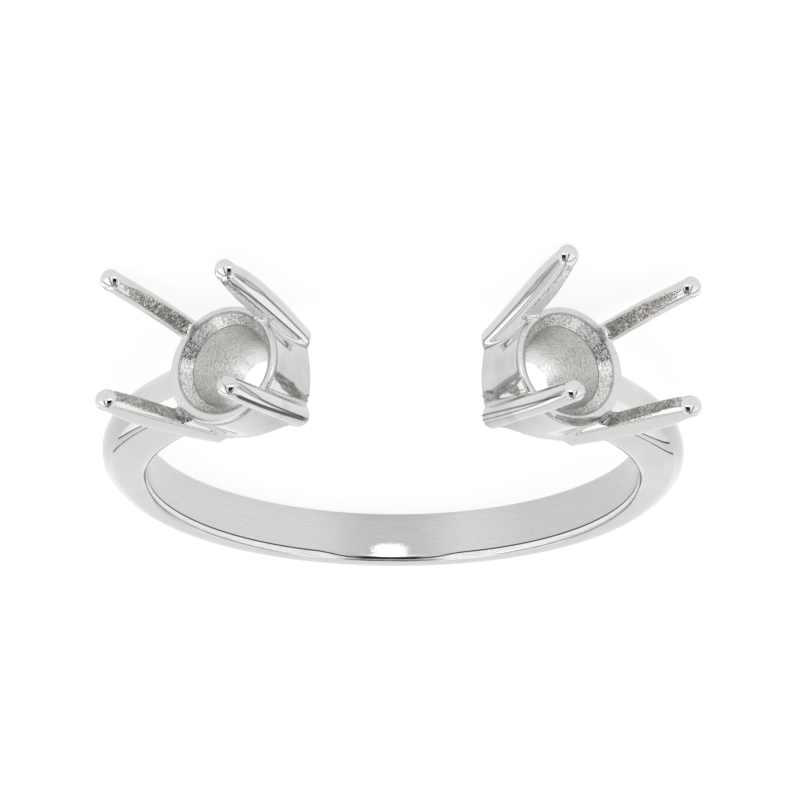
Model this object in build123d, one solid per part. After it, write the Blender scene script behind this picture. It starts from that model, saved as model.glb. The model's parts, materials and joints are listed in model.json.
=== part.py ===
from build123d import *
import math
import os

# A ring setting for two stones, cast and soldered in one piece. All sizes are in millimetres.
# It is built upright: X across the ring, Y along the finger, Z up to the cups, origin at the middle of
# the finger hole. At the end it is laid on its far side, as it rests by itself on a table.

# Finger hole
finger_diameter = 17.3
finger_land_width = 1.32       # straight wall between the two eased edges
finger_ease_slope = 0.14       # how much the eased edges open for each unit of width

# Band
band_foot_width = 1.79         # at the finger hole
band_thickness = 1.18          # at the bottom of the ring
band_width = 1.92              # at its widest
band_side_height = 0.38        # from the finger hole to where the band is widest
shoulder_thickness = 1.68      # where the band runs under a cup
shoulder_width = 2.40
shoulder_side_height = 0.60

# Cups
cup_angle = 31.9               # from the top of the ring to the cup, in degrees
cup_lean = 30.7                # of the cup's axis from upright, in degrees
cup_height = 2.11              # from the finger hole to the seat's lower edge
seat_depth = 0.40
rim_diameter = 4.22
rim_face_width = 0.34
rim_chamfer = 0.10
cup_base_diameter = 3.64       # of the round wall, at the finger hole
skirt_length = 3.58            # the squarer foot of the cup, along the ring and across it
skirt_width = 3.62
skirt_corner_radius = 0.75
skirt_height = 1.70            # where it has run out into the round wall
skirt_taper = 0.42             # how far each side leans in by then
bore_diameter = 2.97           # at the seat's lower edge
bore_exit_diameter = 1.60      # at the finger hole

# Prongs
prong_width = 0.76
prong_root_depth = 0.37        # outwards from the prong's middle line
prong_belly_depth = 0.60
prong_web_depth = 0.56         # inwards from the prong's middle line, to the cup's wall
prong_neck_radius = 0.355
prong_ball_radius = 0.37
prong_root_along = 1.53        # from the cup's axis, along the ring and across it
prong_root_across = 1.39
outer_tip_height = 4.18        # above the seat's lower edge
outer_tip_along = 2.34
outer_tip_across = 2.14
inner_tip_height = 3.58
inner_tip_along = 2.02
inner_tip_across = 2.25
prong_face_at_rim = 0.30       # from the prong's middle line inwards to its flat face
prong_face_at_tip = 0.335

root_overrun = 0.9             # how far cups and prongs start inside the finger hole before it is cut

# Band sections from the bottom of the ring (0) to its end under a cup (1).
# Columns: place along the band, share of the growth in thickness, share of the growth in width.
BAND_SECTIONS = [
    (0.00, 0.00, 0.00),
    (0.16, 0.02, 0.08),
    (0.32, 0.09, 0.25),
    (0.50, 0.36, 0.50),
    (0.66, 0.84, 0.80),
    (0.82, 1.02, 0.95),
    (1.00, 1.00, 1.00),
]

# Prong sections from the root (0) to the ball (1).
# Columns: place along the prong, and the half width, outward depth and inward depth, as shares of
# half the prong's width, of the belly's depth and of the web's depth.
PRONG_SECTIONS = [
    (0.00, 1.00, 0.62, 0.72),
    (0.22, 1.00, 0.80, 0.88),
    (0.46, 1.00, 1.00, 1.00),
    (0.78, 0.97, 0.86, 0.74),
]

# The eight prongs. Columns: cup (-1 left, 1 right), end of the cup, side (-1 near, 1 far), and how far
# the tip is bent away from the cup's axis along the ring and across it, as shares of the prong's width.
PRONGS = [
    (-1, "outer", -1, -0.09, 0.00),
    (-1, "outer", 1, -0.20, 0.00),
    (-1, "inner", -1, 0.15, 0.00),
    (-1, "inner", 1, -0.07, -0.42),
    (1, "outer", -1, 0.11, 0.00),
    (1, "outer", 1, 0.17, 0.00),
    (1, "inner", -1, -0.21, 0.00),
    (1, "inner", 1, 0.10, 0.40),
]

# Worked out from the sizes above
finger_radius = finger_diameter / 2
rim_radius = rim_diameter / 2
seat_radius = finger_radius + cup_height
band_end_angle = 180 - cup_angle - math.degrees(bore_exit_diameter / 2 / finger_radius)
widest = 2 * max(outer_tip_across, inner_tip_across) + 4 * prong_ball_radius


def cup_axes(cup):
    # Seat centre, axis of the cup, and the direction from the cup towards the top of the ring
    angle = math.radians(cup_angle)
    lean = math.radians(cup_lean)
    centre = seat_radius * Vector(cup * math.sin(angle), 0, math.cos(angle))
    axis = Vector(cup * math.sin(lean), 0, math.cos(lean))
    along = Vector(-cup * math.cos(lean), 0, math.sin(lean))
    return centre, axis, along


def turned(profile):
    # A solid of revolution about Z from (radius, height) corners
    points = [(radius, 0, height) for radius, height in profile]
    return revolve(make_face(Polyline(*points, close=True)), Axis.Z)


def placed_on_cup(cup, shape):
    centre, axis, along = cup_axes(cup)
    return Plane(origin=centre, x_dir=along, z_dir=axis) * shape


def band_section(place, thickness_share, width_share):
    # Rounded sides and a domed outside, on a foot that starts just inside the finger hole
    thickness = band_thickness + thickness_share * (shoulder_thickness - band_thickness)
    half_width = (band_width + width_share * (shoulder_width - band_width)) / 2
    side_height = band_side_height + width_share * (shoulder_side_height - band_side_height)
    half_foot = band_foot_width / 2
    start = finger_radius - root_overrun
    side = finger_radius + side_height
    outline = Line((-half_foot, start), (half_foot, start))
    outline += Line((half_foot, start), (half_foot, finger_radius))
    outline += TangentArc((half_width, side), (half_foot, finger_radius), tangent=(0, -1))
    outline += ThreePointArc((half_width, side), (0, finger_radius + thickness), (-half_width, side))
    outline += TangentArc((-half_width, side), (-half_foot, finger_radius), tangent=(0, -1))
    outline += Line((-half_foot, finger_radius), (-half_foot, start))
    angle = math.radians(place * band_end_angle)
    travel = (-math.cos(angle), 0, -math.sin(angle))
    return Plane(origin=(0, 0, 0), x_dir=(0, 1, 0), z_dir=travel) * make_face(outline)


def band():
    left = [band_section(-place, thick, wide) for place, thick, wide in reversed(BAND_SECTIONS[1:])]
    right = [band_section(place, thick, wide) for place, thick, wide in BAND_SECTIONS]
    return loft(left + right)


def cup_body(cup):
    # A round wall that opens towards the rim
    foot = -cup_height - root_overrun
    chamfer_top = rim_radius - rim_chamfer
    profile = [(0, foot), (cup_base_diameter / 2, foot), (cup_base_diameter / 2, -cup_height),
               (rim_radius, seat_depth - rim_chamfer), (chamfer_top, seat_depth), (0, seat_depth)]
    return placed_on_cup(cup, turned(profile))


def cup_skirt(cup):
    # The squarer foot that fills the wall between the roots of the prongs
    foot = -cup_height - root_overrun
    slope = skirt_taper / skirt_height
    sections = []
    for height in (foot, skirt_height - cup_height):
        lean = slope * (height + cup_height)
        outline = RectangleRounded(skirt_length - 2 * lean, skirt_width - 2 * lean, skirt_corner_radius)
        sections.append(Pos(0, 0, height) * outline)
    return placed_on_cup(cup, loft(sections))


def cup_hollow(cup):
    # Bevelled seat and tapered bore, open at both ends
    foot = -cup_height - root_overrun
    mouth = rim_radius - rim_face_width
    top = seat_depth + prong_width
    profile = [(0, foot), (bore_exit_diameter / 2, foot), (bore_exit_diameter / 2, -cup_height),
               (bore_diameter / 2, 0), (mouth, seat_depth), (mouth, top), (0, top)]
    return placed_on_cup(cup, turned(profile))


def prong_ends(cup, end, side, bend_along, bend_across):
    # Root and tip of a prong's middle line
    centre, axis, along = cup_axes(cup)
    across = Vector(0, side, 0)
    sign = -1 if end == "outer" else 1
    height, tip_along, tip_across = outer_tip_height, outer_tip_along, outer_tip_across
    if end == "inner":
        height, tip_along, tip_across = inner_tip_height, inner_tip_along, inner_tip_across
    tip_along += bend_along * prong_width
    tip_across += bend_across * prong_width
    root = centre - cup_height * axis + sign * prong_root_along * along + prong_root_across * across
    tip = centre + height * axis + sign * tip_along * along + tip_across * across
    return root, tip


def oval(half_width, outward, inward):
    # Two half ellipses that meet at the prong's sides
    outline = EllipticalCenterArc((0, 0), half_width, outward, start_angle=0, arc_size=180)
    outline += EllipticalCenterArc((0, 0), half_width, inward, start_angle=180, arc_size=180)
    return make_face(outline)


def face_cutter(root, tip, centre, axis, outward, side):
    # A wedge on the cup's side of a prong, from the rim up, that leaves the prong's flat face
    rim_height = seat_depth + cup_height
    middle = root + (tip - root) * (rim_height / (tip - root).dot(axis))
    low = middle - outward * prong_face_at_rim
    top = tip - outward * prong_face_at_tip
    high = top + (top - low).normalized() * prong_width
    inward = axis * (middle - centre).dot(axis) - (middle - centre)
    inward = inward.normalized() * prong_web_depth
    wedge = make_face(Polyline(low, high, high + inward, low + inward, close=True))
    return extrude(wedge, amount=prong_width, dir=side, both=True)


def prong(row):
    cup = row[0]
    root, tip = prong_ends(*row)
    centre, axis, along = cup_axes(cup)
    direction = (tip - root).normalized()
    middle = (root + tip) * 0.5 - centre
    outward = middle - axis * middle.dot(axis)
    outward = (outward - direction * outward.dot(direction)).normalized()
    side = outward.cross(direction)
    start = root - direction * root_overrun
    sections = [Plane(origin=start, x_dir=side, z_dir=direction) * oval(
        prong_width / 2, prong_root_depth, prong_web_depth * PRONG_SECTIONS[0][3])]
    for place, width_share, outer_share, inner_share in PRONG_SECTIONS:
        plane = Plane(origin=root + (tip - root) * place, x_dir=side, z_dir=direction)
        sections.append(plane * oval(
            width_share * prong_width / 2, outer_share * prong_belly_depth, inner_share * prong_web_depth))
    neck = prong_neck_radius
    sections.append(Plane(origin=tip, x_dir=side, z_dir=direction) * oval(neck, neck, neck))
    bar = loft(sections) - face_cutter(root, tip, centre, axis, outward, side)
    return bar + Pos(*tip) * Sphere(prong_ball_radius)


def finger_cutter():
    # Straight land in the middle and an eased edge at each side
    half_land = finger_land_width / 2
    open_radius = finger_radius + finger_ease_slope * (widest - half_land)
    profile = [(0, -widest), (open_radius, -widest), (finger_radius, -half_land),
               (finger_radius, half_land), (open_radius, widest), (0, widest)]
    return Rot(90, 0, 0) * turned(profile)


def upright_ring():
    ring = band()
    for cup in (-1, 1):
        ring += cup_body(cup)
        ring += cup_skirt(cup)
    for row in PRONGS:
        ring += prong(row)
    ring -= finger_cutter()
    for cup in (-1, 1):
        ring -= cup_hollow(cup)
    return ring


def table_plane(left, right):
    # The way down when the ring lies on one left ball, one right ball and the band's lower edge
    slope_x, slope_z = 0.0, 0.0
    edge_radius = finger_radius + band_side_height
    for step in range(200):
        slope = math.hypot(slope_x, slope_z)
        reach = band_width / 2 + edge_radius * slope - prong_ball_radius * math.hypot(1, slope)
        left_rise = reach - left.Y
        right_rise = reach - right.Y
        spread = left.X * right.Z - right.X * left.Z
        slope_x += 0.5 * ((left_rise * right.Z - right_rise * left.Z) / spread - slope_x)
        slope_z += 0.5 * ((right_rise * left.X - left_rise * right.X) / spread - slope_z)
    return Vector(slope_x, 1, slope_z).normalized()


def way_down():
    # Of all pairs of balls on the far side, the pair that no other ball hangs below
    tips = [(row[0], prong_ends(*row)[1]) for row in PRONGS if row[2] == 1]
    choices = []
    for left in [tip for cup, tip in tips if cup == -1]:
        for right in [tip for cup, tip in tips if cup == 1]:
            down = table_plane(left, right)
            sunk = max(tip.dot(down) for cup, tip in tips) - left.dot(down)
            choices.append((sunk, down))
    return min(choices, key=lambda choice: choice[0])[1]


def laid_on_table(ring):
    down = way_down()
    heading = Vector(-1, 0, 0)
    heading = (heading - down * heading.dot(down)).normalized()
    laid = Plane(origin=(0, 0, 0), x_dir=heading, z_dir=down * -1).to_local_coords(ring)
    box = laid.bounding_box()
    middle = box.center()
    return Pos(-middle.X, -middle.Y, -box.min.Z) * laid


ring_mount = laid_on_table(upright_ring())
os.makedirs("parts", exist_ok=True)
export_step(ring_mount, "parts/ring_mount.step")
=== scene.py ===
import json
import math

import bpy
import numpy as np
from mathutils import Matrix, Vector


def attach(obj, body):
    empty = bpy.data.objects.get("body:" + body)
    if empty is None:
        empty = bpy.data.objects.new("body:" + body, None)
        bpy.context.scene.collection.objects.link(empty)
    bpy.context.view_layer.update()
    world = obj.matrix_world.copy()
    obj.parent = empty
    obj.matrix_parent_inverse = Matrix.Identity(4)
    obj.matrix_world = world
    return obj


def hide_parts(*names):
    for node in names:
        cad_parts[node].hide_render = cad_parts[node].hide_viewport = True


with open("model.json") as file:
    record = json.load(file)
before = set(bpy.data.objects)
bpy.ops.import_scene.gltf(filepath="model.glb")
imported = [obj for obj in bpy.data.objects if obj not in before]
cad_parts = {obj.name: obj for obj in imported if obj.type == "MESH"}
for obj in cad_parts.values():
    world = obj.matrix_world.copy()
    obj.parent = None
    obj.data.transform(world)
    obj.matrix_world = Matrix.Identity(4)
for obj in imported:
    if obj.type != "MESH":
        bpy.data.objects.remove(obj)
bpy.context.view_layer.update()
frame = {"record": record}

print("stage 1: frame loaded")


def unit(way):
    return way / np.linalg.norm(way)


# Shapes are in millimetres in the upright ring: X across, Y along the finger, Z up to the cups, from the
# middle of the finger hole. The record's mounts say where that lies.
mounts = {m["name"]: m for m in frame["record"]["mounts"]}
ringCentre, leftSeat, rightSeat = (
    np.array(mounts[name]["pos_m"]) for name in ("finger_hole", "seat_left", "seat_right"))
ringAway = unit(-np.array(mounts["finger_hole"]["axis"]))
ringUp = (leftSeat + rightSeat) / 2 - ringCentre
ringUp = unit(ringUp - ringAway * (ringUp @ ringAway))
ringTurn = np.array([np.cross(ringAway, ringUp), ringAway, ringUp])


def toRow(points):
    # Ring millimetres to metres in the row frame
    return ringCentre + (np.asarray(points) / 1000) @ ringTurn


bandShape = {
    "fingerRadius": 8.65, "land": 0.66, "easeSlope": 0.14,
    "footHalf": 0.895, "bottomHalf": 0.96, "bottomSide": 0.38, "bottomThick": 1.18,
    "shoulderHalf": 1.20, "shoulderSide": 0.60, "shoulderThick": 1.68,
    "edgeRound": 0.045, "creaseRound": 0.05, "sharpAngle": 50,
    "endAngle": 37.2, "joinAngle": 52.0,      # degrees from the ring's top
    "satinDepth": 0.045,      # how far from the finger hole the satin goes
    # past the join the head thins into the band: how fast, how deep at most, and how far it goes
    "thinning": 1.6, "thinningMost": 0.3, "tongue": 0.45,
    "steps": 560, "ringPoints": 132,
    # place from the bottom (0) to the end (1), growth of thickness, growth of width
    "growth": [(0.0, 0.0, 0.0), (0.16, 0.02, 0.08), (0.32, 0.09, 0.25), (0.50, 0.36, 0.50),
               (0.66, 0.84, 0.80), (0.80, 1.0, 0.97), (0.88, 1.0, 1.0), (1.0, 1.0, 1.0)],
}

cupShape = {
    "angle": 31.9, "lean": 30.7, "height": 2.11, "seatDepth": 0.40,
    "rimRadius": 2.14, "rimFace": 0.335, "rimRound": 0.20, "baseRadius": 1.82,
    # the cups are uneven: shifts of the wall and of the mouth, along and across
    "wallShift": {-1: (-0.03, -0.07), 1: (-0.05, 0.02)}, "mouthShift": {-1: (0.05, -0.01), 1: (0.04, 0.05)},
    "skirtHalfLength": 1.79, "skirtHalfWidth": 1.81, "skirtCorner": 0.75,
    "skirtHeight": 1.70, "skirtTaper": 0.42, "skirtRound": 0.2,
    "boreRadius": 1.485, "exitRadius": 0.80, "boreTop": 0.2,
    "skirtBlend": 0.35, "bandBlend": 0.30, "fingerEdge": 0.05,
    # where the surface is looked for: half widths along and across, lowest, highest
    "room": (5.0, 3.3, 5.0, 14.6), "sharpAngle": 38,
}
mouthRadius = cupShape["rimRadius"] - cupShape["rimFace"]

prongShape = {
    "halfWidth": 0.38, "belly": 0.57, "web": 0.49, "neck": 0.355, "ball": 0.37, "barEnd": 0.10,
    "rootAlong": 1.53, "rootAcross": 1.39,
    "outerTip": (4.18, 2.34, 2.14), "innerTip": (3.58, 2.02, 2.25),   # height, along, across
    # how deep the flat face lies at the rim and the tip, by cup, end and side
    "faceDepths": {(-1, -1, -1): (0.13, 0.31), (1, -1, -1): (0.16, 0.36), (-1, -1, 1): (0.39, 0.425),
                   (1, -1, 1): (0.38, 0.42), None: (0.335, 0.405)},
    "faceFade": 2.2, "faceEdge": 0.03, "cupBlend": 0.16, "ballBlend": 0.06,
    # turn of each face round its prong, by end and side
    "faceTurns": {(-1, -1): -8.0, (-1, 1): -13.0, (1, -1): -28.0, (1, 1): -28.0},
    # flattened tips: share of the thickness, lean of the flat from the sight line, and which way it leans,
    # right and up, by cup and side
    "tipThick": 0.52, "tipLean": 26.0, "sight": (0, -0.3426, 0.9395), "rise": (0, 0.9395, 0.3426),
    "tipTurns": {(-1, -1): (-0.83, 0.55), (-1, 1): (-1.0, 0.04), (1, -1): (0.75, 0.63), (1, 1): (0.95, 0.30)},
    # painted shade lines along a deep and a fine crease, by cup, end and side: places from the root (0) to the ball
    # (1) and angles round the prong from its outward side, in degrees
    "creaseShades": {(-1, 1, -1): [[(0.10, -10), (0.39, -3), (0.64, 2), (0.79, 4), (0.93, 9)],
                              [(0.12, -17), (0.37, -15), (0.55, -16), (0.70, -19), (0.84, -34), (0.95, -53)]],
                (1, 1, -1): [None, [(0.02, 45), (0.29, 35), (0.54, 28), (0.80, 24), (0.95, 21)]],
                (-1, 1, 1): [None, [(0.09, 83), (0.29, 86), (0.56, 90), (0.75, 98), (0.93, 112)]]},
    # place from the root (0) to the ball (1), half width, outward depth, inward depth, as shares
    "sections": [(0.0, 1.0, 0.80, 0.86), (0.22, 1.0, 0.92, 0.95), (0.46, 1.0, 1.0, 1.0), (0.80, 0.98, 0.92, 0.90)],
    # cup, end (-1 outer, 1 inner), side (-1 near, 1 far), bend of the tip along and across in widths,
    # bow of the middle outwards and sideways
    "prongs": [(-1, -1, -1, -0.09, 0.0, 0.0, 0.0), (-1, -1, 1, -0.20, 0.0, 0.0, 0.08),
               (-1, 1, -1, 0.15, 0.0, 0.0, 0.0), (-1, 1, 1, -0.07, -0.42, 0.0, 0.0),
               (1, -1, -1, 0.11, 0.0, 0.0, 0.0), (1, -1, 1, 0.17, 0.0, 0.0, -0.08),
               (1, 1, -1, -0.21, 0.0, 0.0, 0.0), (1, 1, 1, 0.10, 0.40, -0.12, 0.0)],
}


def softMin(a, b, blend):
    overlap = np.maximum(blend - np.abs(a - b), 0) / blend
    return np.minimum(a, b) - overlap * overlap * blend / 4


def softMax(a, b, blend):
    return -softMin(-a, -b, blend)


def smoothTable(rows, column):
    # A smooth curve through one column of a table, sampled finely for np.interp
    places = np.array([row[0] for row in rows])
    values = np.array([row[column] for row in rows])
    slopes = np.gradient(values, places)
    fine = np.linspace(places[0], places[-1], 257)
    k = np.clip(np.searchsorted(places, fine, side="right") - 1, 0, len(places) - 2)
    span = places[k + 1] - places[k]
    t = (fine - places[k]) / span
    h00, h10 = 2 * t**3 - 3 * t**2 + 1, t**3 - 2 * t**2 + t
    h01, h11 = -2 * t**3 + 3 * t**2, t**3 - t**2
    return fine, h00 * values[k] + h10 * span * slopes[k] + h01 * values[k + 1] + h11 * span * slopes[k + 1]


# Band

def easeDepth(away):
    # How far the inside falls away towards its two edges
    return bandShape["easeSlope"] * np.maximum(np.abs(away) - bandShape["land"], 0)


def bandField(depth, away, half, side, thick):
    # Signed distance of a band section; depth is the height above the finger hole
    s = bandShape
    domeRadius = (half**2 + (thick - side)**2) / (2 * (thick - side))
    dome = np.hypot(away, depth - thick + domeRadius) - domeRadius
    drop = half - s["footHalf"]      # the side is an arc, upright at the widest point, that meets the foot
    sideRadius = (drop * drop + side * side) / (2 * drop)
    wall = np.hypot(np.abs(away) - half + sideRadius, depth - side) - sideRadius
    wall = np.where(depth > side, np.abs(away) - half, wall)
    body = softMax(dome, wall, s["creaseRound"])
    return softMax(body, easeDepth(away) - depth, s["edgeRound"])


def sectionOutline(half, side, thick, count):
    # Walks out from the middle along the directions of an ellipse, then spaces the points evenly
    fineCount, farthest, halvings, turnWeight = 4000, 3.0, 40, 0.22
    angles = np.linspace(0, 2 * math.pi, fineCount, endpoint=False)
    middle = thick * 0.45
    way = np.stack([np.cos(angles) * half * 1.25, np.sin(angles) * thick * 0.8], 1)
    way /= np.linalg.norm(way, axis=1)[:, None]
    low, high = np.zeros(fineCount), np.full(fineCount, farthest)
    for _ in range(halvings):
        test = (low + high) / 2
        inside = bandField(middle + way[:, 1] * test, way[:, 0] * test, half, side, thick) < 0
        low, high = np.where(inside, test, low), np.where(inside, high, test)
    reach = (low + high) / 2
    fine = np.stack([way[:, 0] * reach, middle + way[:, 1] * reach], 1)
    closed = np.vstack([fine, fine[:1]])
    steps = np.diff(closed, axis=0)
    turn = np.unwrap(np.arctan2(*steps.T[::-1]))
    # more points where it turns
    weight = np.linalg.norm(steps, axis=1) + turnWeight * np.abs(np.append(np.diff(turn), 0))
    travel = np.concatenate([[0], np.cumsum(weight)])
    wanted = np.linspace(0, travel[-1], count, endpoint=False)
    return np.stack([np.interp(wanted, travel, closed[:, k]) for k in (0, 1)], 1)


def matchOutline(outline, half, side, thick):
    # The shoulder's section, point for point like the bottom one
    insideBelow, rounds, pace, nudge = 0.06, 60, 0.6, 1e-5
    scaled = outline * np.array([half / bandShape["bottomHalf"], thick / bandShape["bottomThick"]])
    inner = np.abs(outline[:, 1]) < insideBelow
    scaled[inner, 0] = outline[inner, 0]
    for _ in range(rounds):
        x, y = scaled.T
        here, across, up = (bandField(y + up, x + over, half, side, thick)
                            for over, up in ((0, 0), (nudge, 0), (0, nudge)))
        slope = np.stack([across - here, up - here]) / nudge
        scaled -= pace * (here * slope / (slope[0] * slope[0] + slope[1] * slope[1] + 1e-9)).T
    return scaled


def newMesh(name, points, faces, edges=()):
    mesh = bpy.data.meshes.new(name)
    mesh.from_pydata([tuple(p) for p in points], edges, [tuple(f) for f in faces])
    mesh.update()
    piece = bpy.data.objects.new(name, mesh)
    bpy.context.scene.collection.objects.link(piece)
    return piece


def setInputs(node, inputs):
    # Inputs get plain values, or the sockets that they come from
    for key, value in inputs.items():
        if isinstance(value, bpy.types.NodeSocket):
            node.id_data.links.new(value, node.inputs[key])
        else:
            node.inputs[key].default_value = value


def addNode(tree, kind, inputs={}, **settings):
    node = tree.nodes.new(kind)
    for key, value in settings.items():
        setattr(node, key, value)
    setInputs(node, inputs)
    return node


def calc(operation, *values):
    # A Math node in the tree of the first socket among its values
    tree = next(v for v in values if isinstance(v, bpy.types.NodeSocket)).id_data
    return addNode(tree, "ShaderNodeMath", dict(enumerate(values)), operation=operation).outputs[0]


def times(first, *others):
    for value in others:
        first = calc("MULTIPLY", first, value)
    return first


def growthCurve(column, place):
    node = addNode(place.id_data, "ShaderNodeFloatCurve", {"Value": place})
    points = node.mapping.curves[0].points
    first, *between, last = [(row[0], row[column]) for row in bandShape["growth"]]
    points[0].location, points[-1].location = first, last
    for spot in between:
        points.new(*spot)
    node.mapping.use_clip = False
    node.mapping.update()
    return node.outputs["Value"]


def bandSweepTree():
    # Sweeps the outline round the finger and lets it grow towards both shoulders
    tree = bpy.data.node_groups.new("bandSweep", "GeometryNodeTree")
    newSocket = tree.interface.new_socket
    kinds = {"Geometry": "Geometry", "Finger Radius": "Float", "Half Sweep": "Float", "End Sweep": "Float",
             "Inside Depth": "Float", "Steps": "Int", "Outside": "Material", "Inside": "Material"}
    sockets = {name: newSocket(name=name, in_out="INPUT", socket_type="NodeSocket" + kind)
               for name, kind in kinds.items()}
    newSocket(name="Geometry", in_out="OUTPUT", socket_type="NodeSocketGeometry")
    given = addNode(tree, "NodeGroupInput").outputs

    outline = addNode(tree, "GeometryNodeMeshToCurve", {"Mesh": given["Geometry"]})
    path = addNode(tree, "GeometryNodeCurvePrimitiveLine", {"End": (0, 0, 1)})
    fine = addNode(tree, "GeometryNodeResampleCurve", {"Curve": path.outputs["Curve"], "Count": given["Steps"]})
    sweep = addNode(tree, "GeometryNodeCurveToMesh", {
        "Curve": fine.outputs["Curve"], "Profile Curve": outline.outputs["Curve"], "Fill Caps": True})

    here = addNode(tree, "GeometryNodeInputPosition")
    along = addNode(tree, "ShaderNodeSeparateXYZ", {0: here.outputs[0]}).outputs["Z"]
    angle = times(calc("MULTIPLY_ADD", along, 2.0, -1.0), given["Half Sweep"])
    place = calc("DIVIDE", calc("ABSOLUTE", angle), given["End Sweep"])
    bottom, grown = {}, {}
    for column, name in ((1, "Depth"), (2, "Away")):
        bottom[name], shoulder = (
            addNode(tree, "GeometryNodeInputNamedAttribute", {"Name": word + name}, data_type="FLOAT").outputs[
                "Attribute"] for word in ("bottom", "shoulder"))
        growth = calc("SUBTRACT", shoulder, bottom[name])
        grown[name] = calc("MULTIPLY_ADD", growth, growthCurve(column, place), bottom[name])
    radius = calc("ADD", given["Finger Radius"], grown["Depth"])
    spot = addNode(tree, "ShaderNodeCombineXYZ", {
        "X": times(radius, calc("SINE", angle)), "Y": grown["Away"],
        "Z": times(radius, -1.0, calc("COSINE", angle))}).outputs[0]
    isInside = addNode(tree, "FunctionNodeCompare", {0: bottom["Depth"], 1: given["Inside Depth"]},
                       data_type="FLOAT", operation="LESS_THAN").outputs[0]
    geometry = sweep.outputs["Mesh"]
    for kind, inputs in (("SetPosition", {"Position": spot}), ("RealizeInstances", {}),
                         ("SetMaterial", {"Material": given["Outside"]}),
                         ("SetMaterial", {"Selection": isInside, "Material": given["Inside"]})):
        geometry = addNode(tree, "GeometryNode" + kind, {"Geometry": geometry, **inputs}).outputs["Geometry"]
    addNode(tree, "NodeGroupOutput", {"Geometry": geometry})
    return tree, sockets


def applyNodes(piece, tree, sockets, values):
    # Runs a node tree on a piece and leaves a plain mesh
    modifier = piece.modifiers.new("shape", "NODES")
    modifier.node_group = tree
    for name, value in values.items():
        modifier[sockets[name].identifier] = value
    graph = bpy.context.evaluated_depsgraph_get()
    plain = bpy.data.meshes.new_from_object(piece.evaluated_get(graph))
    piece.modifiers.clear()
    old = piece.data
    piece.data = plain
    bpy.data.meshes.remove(old)
    plain.name = piece.name


def addValues(mesh, word, values):
    # A number or a vector for each vertex, for the finishes
    kind, field = ("FLOAT", "value") if values.ndim == 1 else ("FLOAT_VECTOR", "vector")
    mesh.attributes.new(word, kind, "POINT").data.foreach_set(field, values.astype(np.float32).ravel())


def addRingPlaces(mesh, points):
    # Place along the ring, along the finger and out from its middle
    angle = np.arctan2(points[:, 0], -points[:, 2])
    addValues(mesh, "ringPlace", np.stack([angle * bandShape["fingerRadius"], points[:, 1],
                                           np.hypot(points[:, 0], points[:, 2])], 1))


def readAll(items, word, size, kind=float):
    # A value, or a row of them, for each vertex, edge or triangle
    values = np.empty(len(items) * size, kind)
    items.foreach_get(word, values)
    return np.squeeze(values.reshape(-1, size))


def faceOutwards(mesh):
    mesh.calc_loop_triangles()
    corners = readAll(mesh.loop_triangles, "vertices", 3, np.int32)
    a, b, c = readAll(mesh.vertices, "co", 3)[corners].transpose(1, 0, 2)
    if np.einsum("ij,ij->", a, np.cross(b, c)) < 0:
        mesh.flip_normals()


def makeBand(outside, inside):
    s = bandShape
    outline = sectionOutline(s["bottomHalf"], s["bottomSide"], s["bottomThick"], s["ringPoints"])
    wide = matchOutline(outline, s["shoulderHalf"], s["shoulderSide"], s["shoulderThick"])
    count = len(outline)
    piece = newMesh("band", [(x, y, 0) for x, y in outline], [], [(k, (k + 1) % count) for k in range(count)])
    sections = {"bottomAway": outline[:, 0], "bottomDepth": outline[:, 1],
                "shoulderAway": wide[:, 0], "shoulderDepth": wide[:, 1]}
    for name, values in sections.items():
        addValues(piece.data, name, values)
    tree, sockets = bandSweepTree()
    applyNodes(piece, tree, sockets, {
        "Finger Radius": s["fingerRadius"], "Half Sweep": math.radians(180 - s["joinAngle"]),
        "End Sweep": math.radians(180 - s["endAngle"]), "Inside Depth": s["satinDepth"],
        "Steps": s["steps"], "Outside": outside, "Inside": inside})
    mesh = piece.data
    for name in sections:
        if name in mesh.attributes:
            mesh.attributes.remove(mesh.attributes[name])
    points = readAll(mesh.vertices, "co", 3)
    addRingPlaces(mesh, points)
    addValues(mesh, "satinInside", np.full(len(points), 0.02))     # the swept satin has no ragged edge
    mesh.vertices.foreach_set("co", toRow(points).astype(np.float32).ravel())
    mesh.update()
    faceOutwards(mesh)
    mesh.shade_smooth()
    mesh.set_sharp_from_angle(angle=math.radians(s["sharpAngle"]))
    print("stage 2: band swept,", len(mesh.polygons), "faces")
    return piece


# Heads: each cup, its prongs and its shoulder, as one fused form

def cupAxes(cup):
    angle, lean = math.radians(cupShape["angle"]), math.radians(cupShape["lean"])
    reach = bandShape["fingerRadius"] + cupShape["height"]
    middle = reach * np.array([cup * math.sin(angle), 0, math.cos(angle)])
    axis = np.array([cup * math.sin(lean), 0, math.cos(lean)])
    along = np.array([-cup * math.cos(lean), 0, math.sin(lean)])
    return middle, axis, along


def prongsOf(cup):
    return [row for row in prongShape["prongs"] if row[0] == cup]


def prongLine(row):
    cup, end, side, bendAlong, bendAcross, bowOut, bowSide = row
    p = prongShape
    middle, axis, along = cupAxes(cup)
    height, tipAlong, tipAcross = p["outerTip"] if end < 0 else p["innerTip"]
    tipAlong += bendAlong * 2 * p["halfWidth"]
    tipAcross += bendAcross * 2 * p["halfWidth"]
    across = np.array([0, side, 0])
    root = middle - cupShape["height"] * axis + end * p["rootAlong"] * along + p["rootAcross"] * across
    tip = middle + height * axis + end * tipAlong * along + tipAcross * across
    direction = unit(tip - root)
    outward = (root + tip) / 2 - middle
    outward -= axis * (outward @ axis)
    outward = unit(outward - direction * (outward @ direction))
    return root, tip, direction, outward, np.cross(outward, direction)


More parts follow.
